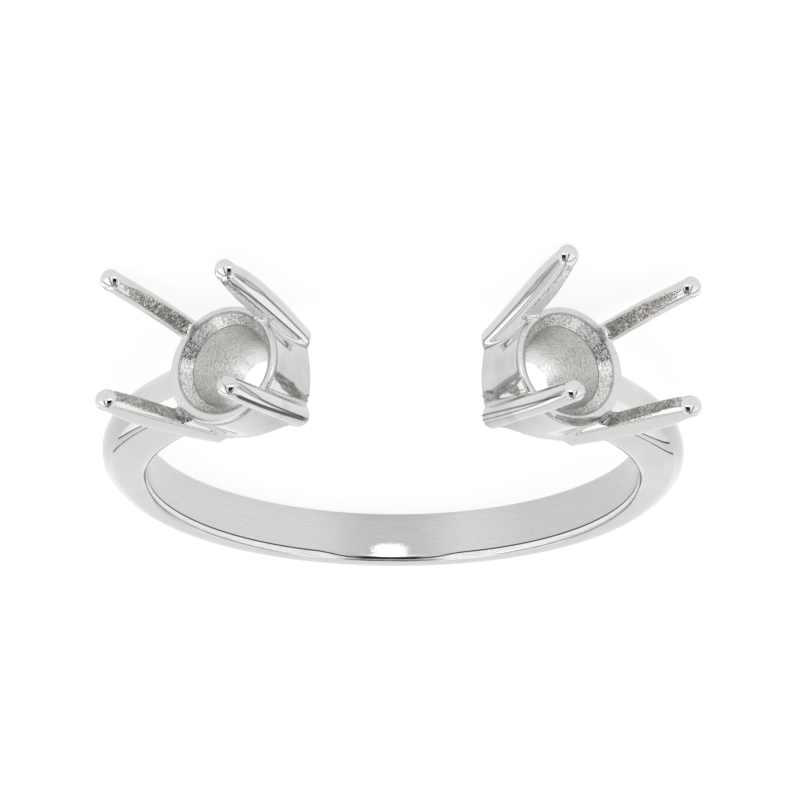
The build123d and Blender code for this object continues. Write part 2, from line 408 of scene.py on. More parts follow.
def prongParts(points, row):
    # Place along the prong and the distances outwards and sideways from its middle line
    root, tip, direction, outward, side = prongLine(row)
    length = np.linalg.norm(tip - root)
    local = points - root
    place = local @ direction / length
    arch = 4 * np.clip(place, 0, 1) * (1 - np.clip(place, 0, 1))
    return place, local @ outward - row[5] * arch, local @ side - row[6] * arch, length


def prongSections():
    # Half width, outward depth and inward depth along a prong
    p = prongShape
    rows = [(t, w * p["halfWidth"], o * p["belly"], i * p["web"]) for t, w, o, i in p["sections"]]
    rows.append((1.0, p["neck"], p["neck"], p["neck"]))
    return [smoothTable(rows, column) for column in (1, 2, 3)]


prongTable = prongSections()


def faceDistance(place, out, aside, row):
    # Distance to the flat face, positive beyond it; it fades out below the rim
    cup, end, side = row[:3]
    p = prongShape
    height = cupShape["height"]
    tipHeight = p["outerTip"][0] if end < 0 else p["innerTip"][0]
    rimPlace = (cupShape["seatDepth"] + height) / (tipHeight + height)
    share = np.clip((place - rimPlace) / (1 - rimPlace), 0, 1)
    atRim, atTip = p["faceDepths"].get(row[:3], p["faceDepths"][None])
    depth = atRim + (atTip - atRim) * share + p["faceFade"] * np.maximum(rimPlace - place, 0)
    turn = math.radians(p["faceTurns"][end, side]) * cup * side
    return -out * math.cos(turn) + aside * math.sin(turn) - depth


def tipField(points, row):
    # A flattened ball at the end of a prong
    p = prongShape
    lean = math.radians(p["tipLean"])
    right, up = p["tipTurns"][row[0], row[2]]
    leaning = (np.array([right, 0, 0]) + up * np.array(p["rise"])) / math.hypot(right, up)
    flat = math.cos(lean) * np.array(p["sight"]) + math.sin(lean) * leaning
    local = points - prongLine(row)[1]
    deep = local @ flat
    wide = ((local - deep[:, None] * flat)**2).sum(1)
    reach = np.sqrt(wide + (deep / p["tipThick"])**2) + 1e-9
    slope = np.sqrt(wide + (deep / p["tipThick"]**2)**2) + 1e-9
    return (reach - p["ball"]) * reach / slope


def prongField(points, row):
    p = prongShape
    place, out, aside, length = prongParts(points, row)
    half, belly, web = (np.interp(place, *column) for column in prongTable)
    depth = np.where(out > 0, belly, web)
    ratio = np.sqrt((aside / half)**2 + (out / depth)**2) + 1e-9
    bar = (ratio - 1) * ratio / np.sqrt((aside / half**2)**2 + (out / depth**2)**2 + 1e-9)
    bar = softMax(bar, faceDistance(place, out, aside, row), p["faceEdge"])
    bar = np.maximum(bar, (place - 1) * length + p["barEnd"])
    return softMin(bar, tipField(points, row), p["ballBlend"])


def cupCoordinates(points, cup, shift=(0, 0)):
    middle, axis, along = cupAxes(cup)
    local = points - middle
    return local @ along - shift[0], points[:, 1] - shift[1], local @ axis


def mouthCoordinates(points, cup):
    # Along, across, height and radius, from the middle of the cup's mouth
    a, b, h = cupCoordinates(points, cup, cupShape["mouthShift"][cup])
    return a, b, h, np.hypot(a, b)


def boreDistance(radius, height):
    c = cupShape
    taper = (c["boreRadius"] - c["exitRadius"]) / c["height"]
    return radius - (c["boreRadius"] + taper * height)


def seatDistance(radius, height):
    c = cupShape
    return radius - c["boreRadius"] - (mouthRadius - c["boreRadius"]) / c["seatDepth"] * height


def cupField(points, cup):
    c = cupShape
    a, b, h = cupCoordinates(points, cup)
    radius = np.hypot(a - c["wallShift"][cup][0], b - c["wallShift"][cup][1])
    slope = (c["rimRadius"] - c["baseRadius"]) / (c["height"] + c["seatDepth"])
    wall = (radius - c["baseRadius"] - slope * (h + c["height"])) / math.hypot(1, slope)
    wall = softMax(wall, h - c["seatDepth"], c["rimRound"])
    lean = c["skirtTaper"] / c["skirtHeight"] * (h + c["height"])
    qa = np.abs(a) - c["skirtHalfLength"] + lean + c["skirtCorner"]
    qb = np.abs(b) - c["skirtHalfWidth"] + lean + c["skirtCorner"]
    skirt = np.hypot(np.maximum(qa, 0), np.maximum(qb, 0)) + np.minimum(np.maximum(qa, qb), 0) - c["skirtCorner"]
    skirt = softMax(skirt, h - c["skirtHeight"] + c["height"], c["skirtRound"])
    return softMin(wall, skirt, c["skirtBlend"])


def hollowField(points, cup):
    # Negative inside the bore and above the seat
    a, b, h, radius = mouthCoordinates(points, cup)
    bore = np.maximum(boreDistance(radius, h), h - cupShape["boreTop"])
    seat = np.maximum(seatDistance(radius, h) * 0.75, -h)      # the seat slants, so the true distance is less
    return np.minimum(bore, np.maximum(seat, radius - mouthRadius))


def headField(points, cup):
    b = bandShape
    rho = np.hypot(points[:, 0], points[:, 2])
    angle = np.arctan2(cup * points[:, 0], points[:, 2])     # from the top of the ring towards the cup's side
    solid = cupField(points, cup)
    for row in prongsOf(cup):
        solid = softMin(solid, prongField(points, row), prongShape["cupBlend"])
    shoulder = bandField(rho - b["fingerRadius"], points[:, 1],
                         b["shoulderHalf"], b["shoulderSide"], b["shoulderThick"])
    past = np.maximum(angle - math.radians(b["joinAngle"]), 0) * rho
    thinner = b["thinning"] * past**2
    shoulder = np.maximum(shoulder + thinner, (math.radians(b["endAngle"]) - angle) * rho)
    solid = softMin(solid, shoulder, cupShape["bandBlend"])
    solid = np.maximum(solid, past - b["tongue"])
    solid = np.maximum(solid, -hollowField(points, cup))
    finger = b["fingerRadius"] + easeDepth(points[:, 1]) - rho + np.minimum(thinner, b["thinningMost"])
    return softMax(solid, finger, cupShape["fingerEdge"])


def fieldSlope(field, points):
    nudge = 2e-4
    slope = np.empty_like(points)
    for axis in range(3):
        step = nudge * np.eye(3)[axis]
        slope[:, axis] = (field(points + step) - field(points - step)) / (2 * nudge)
    return slope


def sampleField(field, low, high, step):
    # The field on a grid: exact near the surface, and from a coarse look elsewhere
    block, nearShare, batch = 4, 1.35, 200000
    blocks = np.ceil((high - low) / (block * step)).astype(int)
    axes = [low[k] + (np.arange(blocks[k]) + 0.5) * block * step for k in range(3)]
    coarse = np.stack(np.meshgrid(*axes, indexing="ij"), -1).reshape(-1, 3)
    near = values = field(coarse).reshape(blocks)
    for axis in range(3):
        values = np.repeat(values, block, axis)
    values = np.pad(values, ((0, 1), (0, 1), (0, 1)), mode="edge")
    needed = np.zeros(values.shape, bool)
    for i, j, k in block * np.argwhere(np.abs(near) < block * step * nearShare):
        needed[i:i + block + 1, j:j + block + 1, k:k + block + 1] = True
    spots = np.argwhere(needed)
    for start in range(0, len(spots), batch):
        part = spots[start:start + batch]
        values[tuple(part.T)] = field(low + part * step)
    return values


def findCrossings(field, values, axis, low, step):
    # Grid edges along an axis that the surface crosses, and the crossing points on them
    inside = values < 0
    crossing = np.argwhere(np.diff(inside, axis=axis))
    ahead = np.eye(3, dtype=int)[axis]
    start = low + crossing * step
    f0, f1 = values[tuple(crossing.T)], values[tuple((crossing + ahead).T)]
    t0, t1 = np.zeros(len(f0)), np.ones(len(f0))
    for _ in range(3):
        t = t0 + (t1 - t0) * np.clip(f0 / (f0 - f1), 0.02, 0.98)
        f = field(start + t[:, None] * ahead * step)
        same = (f < 0) == (f0 < 0)
        t0, f0 = np.where(same, t, t0), np.where(same, f, f0)
        t1, f1 = np.where(same, t1, t), np.where(same, f1, f)
    t = t0 + (t1 - t0) * f0 / (f0 - f1)
    return crossing, ~inside[tuple(crossing.T)], start + t[:, None] * ahead * step


def contour(field, low, high, step):
    # Dual contouring: one vertex in each cell that the surface crosses, set on edges where walls meet
    edgeSize, farthest = 0.02, step * 1.1      # below the size a direction is flat; farthest from the mean
    values = sampleField(field, low, high, step)
    rowSize, layerSize = values.shape[2] - 1, (values.shape[1] - 1) * (values.shape[2] - 1)
    cells, places, slopes, quads = [], [], [], []
    for axis in range(3):
        crossing, outFirst, point = findCrossings(field, values, axis, low, step)
        slope = fieldSlope(field, point)
        slope /= np.linalg.norm(slope, axis=1)[:, None] + 1e-12
        u, v = np.roll(np.eye(3, dtype=int), -axis - 1, 0)[:2]
        around = np.stack([crossing - u - v, crossing - v, crossing, crossing - u], 1)
        around[outFirst] = around[outFirst][:, ::-1]
        quads.append(around @ np.array([layerSize, rowSize, 1]))
        cells.append(quads[-1].T.ravel())
        places.append(np.tile(point, (4, 1)))
        slopes.append(np.tile(slope, (4, 1)))
    cells, places, slopes, quads = (np.concatenate(part) for part in (cells, places, slopes, quads))
    names, index = np.unique(cells, return_inverse=True)
    total = np.bincount(index)
    mean = np.stack([np.bincount(index, places[:, k]) / total for k in range(3)], 1)
    offset = np.einsum("ij,ij->i", slopes, places - mean[index])
    matrix = np.empty((len(names), 3, 3))
    vector = np.empty((len(names), 3))
    for i in range(3):
        vector[:, i] = np.bincount(index, slopes[:, i] * offset) / total
        for j in range(i, 3):
            matrix[:, i, j] = matrix[:, j, i] = np.bincount(index, slopes[:, i] * slopes[:, j]) / total
    size, way = np.linalg.eigh(matrix)
    keep = size > edgeSize
    inverse = np.where(keep, 1 / np.maximum(size, 1e-9), 0)
    shift = np.einsum("nij,nj,nkj,nk->ni", way, inverse, way, vector)
    shift *= np.minimum(1, farthest / np.maximum(np.linalg.norm(shift, axis=1), 1e-12))[:, None]
    points = mean + shift
    smooth = keep.sum(1) < 2
    for _ in range(2):      # points off the edges are drawn onto the surface
        part = points[smooth]
        slope = fieldSlope(field, part)
        points[smooth] = part - np.clip(field(part), -step, step)[:, None] * slope / (
            np.einsum("ij,ij->i", slope, slope)[:, None] + 1e-9)
    return points, np.searchsorted(names, quads)


# How far the finishes of a head reach, in millimetres
finishReach = {
    "satin": 0.03, "rimDown": 0.15, "rimOut": 0.16, "face": 0.022, "faceAboveRim": 0.03, "faceEnd": 0.95,
    "faceAside": 0.5, "onSurface": 0.02, "creaseShadeNear": 0.04,
}


def headMasks(points, cup):
    # How far inside each finish a point lies, for the finishes that end on a round edge
    c, r = cupShape, finishReach
    a, across, h, radius = mouthCoordinates(points, cup)
    depth = np.hypot(points[:, 0], points[:, 2]) - bandShape["fingerRadius"]
    onRim = np.minimum(r["rimDown"] - np.abs(h - c["seatDepth"]), c["rimRadius"] + r["rimOut"] - radius)
    far = np.full(len(points), -1.0)
    onFace, onPatch = {-1: far, 1: far}, far
    for row in prongsOf(cup):
        place, out, aside, length = prongParts(points, row)
        flat = r["face"] - np.abs(faceDistance(place, out, aside, row))
        for limit in (h - c["seatDepth"] - r["faceAboveRim"], (r["faceEnd"] - place) * length,
                      r["faceAside"] - np.abs(aside)):
            flat = np.minimum(flat, limit)
        onFace[row[1]] = np.maximum(onFace[row[1]], flat)
    for start, end, startReach, endReach in patches[cup]:
        start, way = np.array(start), np.array(end) - np.array(start)
        share = np.clip((points - start) @ way / (way @ way), 0, 1)
        reach = startReach + (endReach - startReach) * share
        onPatch = np.maximum(onPatch, reach - np.linalg.norm(points - start - share[:, None] * way, axis=1))
    return {"satinInside": r["satin"] - np.abs(depth - easeDepth(points[:, 1])), "satinRim": onRim,
            "castFace": onFace[-1], "filedFace": onFace[1], "castSkin": onPatch}


def headFinish(points, quads, masks, cup):
    # The finish of each face: 0 polished, 1 satin inside, 2 rim, 3 seat and bore, 4 and 5 prong faces, 6 as cast
    near = finishReach["onSurface"]
    centres = points[quads].mean(1)
    finish = np.zeros(len(centres), np.int32)
    a, across, h, radius = mouthCoordinates(centres, cup)
    depth = np.hypot(centres[:, 0], centres[:, 2]) - bandShape["fingerRadius"]
    for slot, name in ((1, "satinInside"), (2, "satinRim"), (6, "castSkin"), (4, "castFace"), (5, "filedFace")):
        finish[masks[name][quads].max(1) > -near] = slot
    inSeat = (h > 0.002) & (h < cupShape["seatDepth"] - 0.004)
    finish[(np.abs(seatDistance(radius, h)) < near) & inSeat] = 3
    finish[(np.abs(boreDistance(radius, h)) < near) & (h <= 0.002) & (depth > 0.004)] = 3
    return finish


def addCreaseShades(mesh, points, cup):
    # Signed distances from the two painted crease shade lines of the nearest prong, and where they count
    values = {"creaseShadeOne": np.full(len(points), 1.0), "creaseShadeTwo": np.full(len(points), 1.0)}
    onProng = np.zeros(len(points))
    for row in prongsOf(cup):
        lines = prongShape["creaseShades"].get(row[:3])
        if not lines:
            continue
        place, out, aside, length = prongParts(points, row)
        close = (prongField(points, row) < finishReach["creaseShadeNear"]) & (place > 0)
        angle, radius = np.degrees(np.arctan2(aside, out)), np.hypot(out, aside)
        onProng[close] = 1.0
        for word, line in zip(values, lines):
            if line:
                places, angles = zip(*line)
                apart = np.radians(angle - np.interp(place, places, angles)) * radius
                beyond = np.maximum(np.maximum(places[0] - place, place - places[-1]), 0) * length
                values[word][close] = (apart + np.sign(apart) * beyond * 0.25)[close]    # the ends run out thin
    for word, distance in (*values.items(), ("creaseShadeOn", onProng)):
        addValues(mesh, word, distance)


def makeHead(name, cup, materials, step):
    middle = cupAxes(cup)[0][0]
    halfLength, halfWidth, lowest, highest = cupShape["room"]
    low = np.array([middle - halfLength, -halfWidth, lowest])
    high = np.array([middle + halfLength, halfWidth, highest])
    points, quads = contour(lambda spots: headField(spots, cup), low, high, step)
    piece = newMesh(name, toRow(points), quads)
    mesh = piece.data
    masks = headMasks(points, cup)
    a, across, h, radius = mouthCoordinates(points, cup)
    radius = radius + 1e-6
    places = {"cupPlace": np.stack([a, across, h], 1), "seatHeight": h, "mouthAway": radius - mouthRadius,
              "turnPlace": np.stack([a / radius, across / radius, h], 1)}
    for word, values in {**masks, **places}.items():
        addValues(mesh, word, values)
    addRingPlaces(mesh, points)
    addCreaseShades(mesh, points, cup)
    for material in materials:
        mesh.materials.append(material)
    mesh.polygons.foreach_set("material_index", headFinish(points, quads, masks, cup))
    mesh.shade_smooth()
    mesh.set_sharp_from_angle(angle=math.radians(cupShape["sharpAngle"]))
    # the edge between seat and bore is sharp too
    onEdge = (np.abs(h) < 0.015) & (np.abs(radius - cupShape["boreRadius"]) < 0.02)
    sharp = readAll(mesh.edges, "use_edge_sharp", 1, bool)
    sharp |= onEdge[readAll(mesh.edges, "vertices", 2, np.int32)].all(1)
    mesh.edges.foreach_set("use_edge_sharp", sharp)
    faceOutwards(mesh)
    print("stage 3:", name, "fused,", len(quads), "faces")
    return piece


# Finishes. Each grain is a texture: kind, coordinates, scale a mm in all or in each direction, detail, weight
polishLook = {
    "colours": (0.665, 0.695), "warmth": 0.995, "roughness": (0.03, 0.07), "relief": 0.0012,
    "grains": [("noise", "Object", 0.9, 2.0, 1.0), ("noise", "Object", 9.0, 3.0, 0.10)],
    "contrast": (0.35, 0.65),
    # painted shade: the walls of the centre gap are darker, below the rim
    "paintedShade": {"towards": (0.9, -0.44), "reach": (0.55, 0.9), "share": 0.20, "below": (0.25, 0.05)},
}
insideLook = {
    "colours": (0.62, 0.68), "warmth": 0.99, "roughness": (0.20, 0.30), "relief": 0.0003,
    "grains": [("noise", "ringPlace", (1.0, 12.0, 3.0), 4.0, 1.0), ("noise", "Object", 18.0, 3.0, 0.3)],
    "contrast": (0.32, 0.68), "mask": "satinInside", "raggedness": 0.01,
}
rimLook = {
    "colours": (0.63, 0.73), "warmth": 0.99, "roughness": (0.22, 0.32), "relief": 0.0003,
    "grains": [("noise", "Object", 16.0, 3.0, 1.0), ("noise", "Object", 2.5, 2.0, 0.6)],
    "contrast": (0.35, 0.65), "mask": "satinRim", "raggedness": 0.012,
    # darker rings, painted shade on the rim's rounded outside and at its inner edge: what they are measured by, place
    # in millimetres, half width, how much darker
    "rings": [("seatHeight", 0.23, 0.15, 0.36), ("mouthAway", 0.015, 0.045, 0.45)],
}
boreLook = {
    "colours": (0.66, 1.0), "warmth": 0.985, "roughness": (0.24, 0.38), "relief": 0.0075, "edgeTint": 0.9,
    "grains": [("waves", "turnPlace", (2.2, 2.2, 4.1), 7.0, 0.36), ("noise", "cupPlace", 15.0, 4.0, 1.0),
               ("noise", "turnPlace", (7.0, 7.0, 15.0), 2.0, 0.7)],
    "contrast": (0.38, 0.60), "rings": [("seatHeight", -0.02, 0.026, 0.6)],
}
seatLook = {
    "colours": (0.45, 1.0), "warmth": 0.98, "roughness": (0.16, 0.32), "relief": 0.011, "edgeTint": 0.95,
    "grains": [("noise", "cupPlace", 21.0, 5.0, 1.0), ("noise", "turnPlace", (13.0, 13.0, 26.0), 3.0, 1.0)],
    "contrast": (0.40, 0.56), "mask": "seatHeight", "raggedness": 0.002, "under": boreLook,
    "rings": [("seatHeight", 0.375, 0.022, 0.5)],
    # painted reflection of a dark thing, on one side of the seat
    "paintedShade": {"towards": (-0.88, 0.47), "reach": (0.945, 0.99), "share": 0.9},
}
castLook = {
    "colours": (0.085, 0.94), "warmth": 0.90, "roughness": (0.34, 0.52), "relief": 0.009,
    "grains": [("noise", "Object", 12.0, 4.0, 1.0), ("cells", "Object", 14.0, 0.0, 0.25),
               ("noise", "Object", 2.0, 2.0, 0.35)],
    "contrast": (0.41, 0.63), "mask": "castFace", "raggedness": 0.045, "border": 0.6,
}
filedLook = {
    "colours": (0.86, 1.0), "warmth": 0.985, "roughness": (0.40, 0.58), "relief": 0.0025, "edgeTint": 0.9,
    "grains": [("noise", "Object", 9.0, 4.0, 1.0)],
    "contrast": (0.38, 0.62), "mask": "filedFace", "raggedness": 0.012, "border": 0.2,
}
skinLook = {
    "colours": (0.14, 0.42), "warmth": 0.92, "roughness": (0.22, 0.40), "relief": 0.002,
    "grains": [("noise", "ringPlace", (3.0, 9.0, 2.0), 4.0, 1.0), ("noise", "Object", 11.0, 3.0, 0.4)],
    "contrast": (0.36, 0.64), "mask": "castSkin", "raggedness": 0.03, "border": 0.3,
}
# as-cast patches on each head, as tapered strokes: start, end, and how far they reach at each
patches = {
    -1: [((-4.03, -0.71, 10.19), (-3.76, -0.77, 9.50), 0.12, 0.20),
         ((-3.76, -0.77, 9.50), (-3.55, -0.76, 9.06), 0.20, 0.22),
         ((-3.55, -0.76, 9.06), (-3.28, -0.86, 8.56), 0.22, 0.09)],
    1: [((4.07, -1.0, 9.80), (3.81, -0.86, 9.46), 0.20, 0.16), ((3.81, -0.80, 9.46), (3.55, -0.80, 8.97), 0.12, 0.08),
        ((4.19, -0.79, 10.35), (4.03, -0.83, 9.96), 0.05, 0.06),
        ((3.29, -0.66, 8.60), (3.09, -0.55, 8.35), 0.05, 0.04),
        ((5.45, -1.93, 9.72), (6.2, -2.0, 9.32), 0.06, 0.16), ((6.2, -2.0, 9.32), (7.0, -1.66, 8.86), 0.16, 0.07)],
}
# how wide and how dark the painted shade lines along the prongs' creases are
creaseShadeLook = {"creaseShadeOne": (0.095, 0.88), "creaseShadeTwo": (0.048, 0.70)}
# marks along the band: dark lines at the satin's near edge and the near corner, a painted highlight on the eased
# edge, painted shade over the middle with a spot of painted highlight in it, and painted shade towards the right and
# the shoulders
bandMarks = {
    "landLine": {"away": -0.672, "half": 0.036, "share": 0.92, "middle": (2.8, 1.3), "middleAway": -0.79},
    "deepLine": {"away": -0.79, "half": 0.085, "share": 0.92, "reach": (1.45, 0.85)},
    "cornerLine": {"away": -0.90, "radius": 8.69, "half": 0.026, "share": 0.60, "reach": (2.6, 5.0)},
    "easedEdgeHighlight": {"away": -0.70, "soft": 0.012, "tone": 1.0, "reach": (1.3, 2.4)},
    "middle": {"reach": (0.5, 3.0), "share": 0.22},
    "spot": {"away": -0.51, "size": (0.64, 0.27), "power": 2.5, "tone": 0.98, "grain": 17.0, "unevenness": 0.45,
             "border": (1.55, 0.45)},
    "satinSideShade": {"reach": (3.0, 5.5), "share": 0.10},
    "outerShade": {"start": (11.5, 15.5), "end": (19.2, 17.2), "radius": (9.9, 10.25), "share": 0.22},
}


def vectorMath(operation, place, inputs):
    return addNode(place.id_data, "ShaderNodeVectorMath", {0: place, **inputs}, operation=operation).outputs


def readPlace(tree, source):
    # The point in millimetres, from the object's own coordinates or an attribute
    if source != "Object":
        return addNode(tree, "ShaderNodeAttribute", attribute_name=source).outputs["Vector"]
    place = addNode(tree, "ShaderNodeTexCoord").outputs["Object"]
    return vectorMath("SCALE", place, {"Scale": 1000.0})["Vector"]


def readNumber(tree, word):
    return addNode(tree, "ShaderNodeAttribute", attribute_name=word).outputs["Fac"]


def mapRange(value, low, high, outLow=0.0, outHigh=1.0, kind="LINEAR"):
    numbers = {"Value": value, "From Min": low, "From Max": high, "To Min": outLow, "To Max": outHigh}
    return addNode(value.id_data, "ShaderNodeMapRange", numbers, interpolation_type=kind).outputs["Result"]


def fade(*numbers):
    return mapRange(*numbers, kind="SMOOTHSTEP")


def mixColours(share, first, second):
    # Sockets 6 and 7 are a Mix node's two colours, and output 2 is the mixed one
    return addNode(share.id_data, "ShaderNodeMix", {0: share, 6: first, 7: second}, data_type="RGBA").outputs[2]


def tint(colour, share, tone=0.0):
    # Mixes a colour towards a grey tone, black if none is given, by a share
    return mixColours(share, colour, (tone, tone, tone, 1))


def nearLine(value, middle, half, share):
    # A share that is full on a line and fades to nothing at half a width from it
    return fade(calc("ABSOLUTE", calc("SUBTRACT", value, middle)), half, half * 0.35, 0.0, share)


def addGrain(tree, look):
    # The look's textures, added up by weight
    total = sum(grain[4] for grain in look["grains"])
    grainy = None
    for kind, source, scale, detail, weight in look["grains"]:
        place = vectorMath("MULTIPLY", readPlace(tree, source), {1: np.broadcast_to(scale, 3).tolist()})["Vector"]
        given = {"Vector": place, "Scale": 1.0}
        if kind == "noise":
            value = addNode(tree, "ShaderNodeTexNoise", {**given, "Detail": detail}).outputs["Fac"]
        elif kind == "waves":
            given |= {"Distortion": detail, "Detail": 3.0, "Detail Scale": 2.0}
            value = addNode(tree, "ShaderNodeTexWave", given, wave_type="BANDS", bands_direction="Z").outputs["Fac"]
        else:
            value = addNode(tree, "ShaderNodeTexVoronoi", given).outputs["Distance"]
        part = times(value, weight / total)
        grainy = part if grainy is None else calc("ADD", grainy, part)
    return grainy


def layLook(tree, look):
    # Colour, roughness and height of one finish
    grainy = addGrain(tree, look)
    contrast, warmth = look["contrast"], look["warmth"]
    tones = [(tone, tone * (2 + warmth) / 3, tone * warmth, 1) for tone in look["colours"]]
    colour = mixColours(mapRange(grainy, *contrast), *tones)
    for word, middle, half, share in look.get("rings", []):
        colour = tint(colour, nearLine(readNumber(tree, word), middle, half, share))
    # painted shade, darker towards one side of the cup and weaker where the grain is light; on the seat it is a
    # painted reflection of a dark thing
    if "paintedShade" in look:
        s = look["paintedShade"]
        towards = vectorMath("DOT_PRODUCT", readPlace(tree, "turnPlace"), {1: (*s["towards"], 0)})["Value"]
        paintedShade = times(fade(towards, *s["reach"], 0.0, s["share"]), mapRange(grainy, *contrast, 1.0, 0.3))
        if "below" in s:
            paintedShade = times(paintedShade, fade(readNumber(tree, "seatHeight"), *s["below"]))
        colour = tint(colour, paintedShade)
    roughness = mapRange(grainy, *contrast, *look["roughness"])
    return colour, roughness, times(grainy, look["relief"] / 1000), grainy


def markInside(tree, colour, across, arc, away):
    # The satin's painted shade, its painted highlight spot, the painted highlight on its eased edge and the lines
    # along it
    m = bandMarks
    # painted shade towards one side of the satin
    colour = tint(colour, fade(across, *m["satinSideShade"]["reach"], 0.0, m["satinSideShade"]["share"]))
    # painted shade darkening the middle of the satin
    colour = tint(colour, fade(arc, *m["middle"]["reach"], m["middle"]["share"], 0.0))
    # painted highlight: a bright spot low in the middle of the satin, with an uneven border
    spot = m["spot"]
    wide = calc("POWER", calc("DIVIDE", arc, spot["size"][0]), spot["power"])
    high = calc("ABSOLUTE", calc("DIVIDE", calc("SUBTRACT", away, spot["away"]), spot["size"][1]))
    speckle = addNode(tree, "ShaderNodeTexNoise", {
        "Vector": readPlace(tree, "Object"), "Scale": spot["grain"], "Detail": 4.0}).outputs["Fac"]
    uneven = mapRange(speckle, 0.35, 0.65, -spot["unevenness"], spot["unevenness"])
    inHighlight = calc("ADD", calc("ADD", wide, calc("POWER", high, spot["power"])), uneven)
    colour = tint(colour, fade(inHighlight, *spot["border"]), spot["tone"])
    # painted highlight along the near eased edge
    easedHighlight = m["easedEdgeHighlight"]
    past = fade(away, easedHighlight["away"] + easedHighlight["soft"], easedHighlight["away"] - easedHighlight["soft"])
    colour = tint(colour, times(past, fade(arc, *easedHighlight["reach"])), easedHighlight["tone"])
    land, deep = m["landLine"], m["deepLine"]
    drift = fade(arc, *land["middle"], 0.0, land["middleAway"] - land["away"])
    colour = tint(colour, nearLine(calc("SUBTRACT", away, drift), land["away"], land["half"], land["share"]))
    line = nearLine(away, deep["away"], deep["half"], deep["share"])
    return tint(colour, times(line, fade(arc, *deep["reach"])))


def markBand(tree, colour, satin):
    # The marks that follow the band, on its satin inside or on its polished outside
    place = addNode(tree, "ShaderNodeSeparateXYZ", {0: readPlace(tree, "ringPlace")}).outputs
    arc, away = calc("ABSOLUTE", place["X"]), place["Y"]
    if satin:
        colour = markInside(tree, colour, place["X"], arc, away)
    else:
        # painted shade on the polished outside, towards the shoulders
        o = bandMarks["outerShade"]
        colour = tint(colour, times(fade(arc, *o["start"], 0.0, o["share"]), fade(arc, *o["end"]),
                                    fade(place["Z"], *o["radius"])))
    c = bandMarks["cornerLine"]
    squares = [times(part, part) for part in (
        calc("SUBTRACT", away, c["away"]), calc("SUBTRACT", place["Z"], c["radius"]))]
    line = fade(calc("SQRT", calc("ADD", *squares)), c["half"] * 1.6, c["half"] * 0.6, 0.0, c["share"])
    return tint(colour, times(line, fade(arc, *c["reach"])))


def newMaterial(name):
    material = bpy.data.materials.new(name)
    material.use_nodes = True
    return material, material.node_tree.nodes["Principled BSDF"]


def metalFinish(name, look):
    # A finish; one with a mask lies on the polished metal and ends on a ragged line
    material, shader = newMaterial(name)
    tree = material.node_tree
    colour, roughness, height, grainy = layLook(tree, look)
    if "edgeTint" in look:
        shader.inputs["Specular Tint"].default_value = (*[look["edgeTint"]] * 3, 1)
    if "mask" in look:
        under = layLook(tree, look.get("under", polishLook))
        ragged = mapRange(grainy, *look["contrast"], -look["raggedness"], look["raggedness"])
        inward = calc("ADD", readNumber(tree, look["mask"]), ragged)
        share = fade(inward, -0.006, 0.006)
        colour = mixColours(share, under[0], colour)
        if "border" in look:
            colour = tint(colour, nearLine(inward, -0.014, 0.022, look["border"]))
        roughness, height = (calc("MULTIPLY_ADD", calc("SUBTRACT", high, low), share, low)
                             for low, high in ((under[1], roughness), (under[2], height)))
    if look is polishLook:
        # painted shade: dark lines along the prongs' creases
        for word, (half, share) in creaseShadeLook.items():
            line = nearLine(readNumber(tree, word), 0.0, half, share)
            colour = tint(colour, times(line, readNumber(tree, "creaseShadeOn")))
    if look in (polishLook, insideLook):
        colour = markBand(tree, colour, look is insideLook)
    bump = addNode(tree, "ShaderNodeBump", {"Distance": 1.0, "Height": height})
    setInputs(shader, {
        "Metallic": 1.0, "Base Color": colour, "Roughness": roughness, "Normal": bump.outputs["Normal"]})
    return material


# in the order of the numbers that headFinish gives
finishes = [metalFinish(name, look) for name, look in (
    ("polished metal", polishLook), ("satin inside", insideLook), ("satin rim", rimLook),
    ("cut seat and turned bore", seatLook), ("cast prong face", castLook), ("filed prong face", filedLook),
    ("cast skin", skinLook))]

band = makeBand(*finishes[:2])
headStep = 0.05
leftHead = makeHead("left_head", -1, finishes, headStep)
rightHead = makeHead("right_head", 1, finishes, headStep)
for piece in (band, leftHead, rightHead):
    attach(piece, "root")
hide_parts("ring_mount")

# Floor: a white light table, lit from below
table = {"halfSize": 2.0, "colour": 0.22, "glow": 0.83, "roughness": 0.9, "gloss": 0.1}


def makeTable():
    half = table["halfSize"]
    corners = [(-half, -half, 0), (half, -half, 0), (half, half, 0), (-half, half, 0)]
    piece = newMesh("light table", corners, [(0, 1, 2, 3)])
    material, shader = newMaterial("lit table top")
    setInputs(shader, {
        "Base Color": (*[table["colour"]] * 3, 1), "Roughness": table["roughness"],
        "Specular IOR Level": table["gloss"], "Emission Color": (1, 1, 1, 1), "Emission Strength": table["glow"]})
    piece.data.materials.append(material)


makeTable()

# Camera at the photo's angle to the ring
view = {
    "tilt": 69.968, "roll": 0.301, "turn": 0.653,       # degrees
    "pixelsPerMm": 28.394, "middle": (393.22, 457.79), "distance": 250.0, "imageSide": 800, "sensor": 36,
}


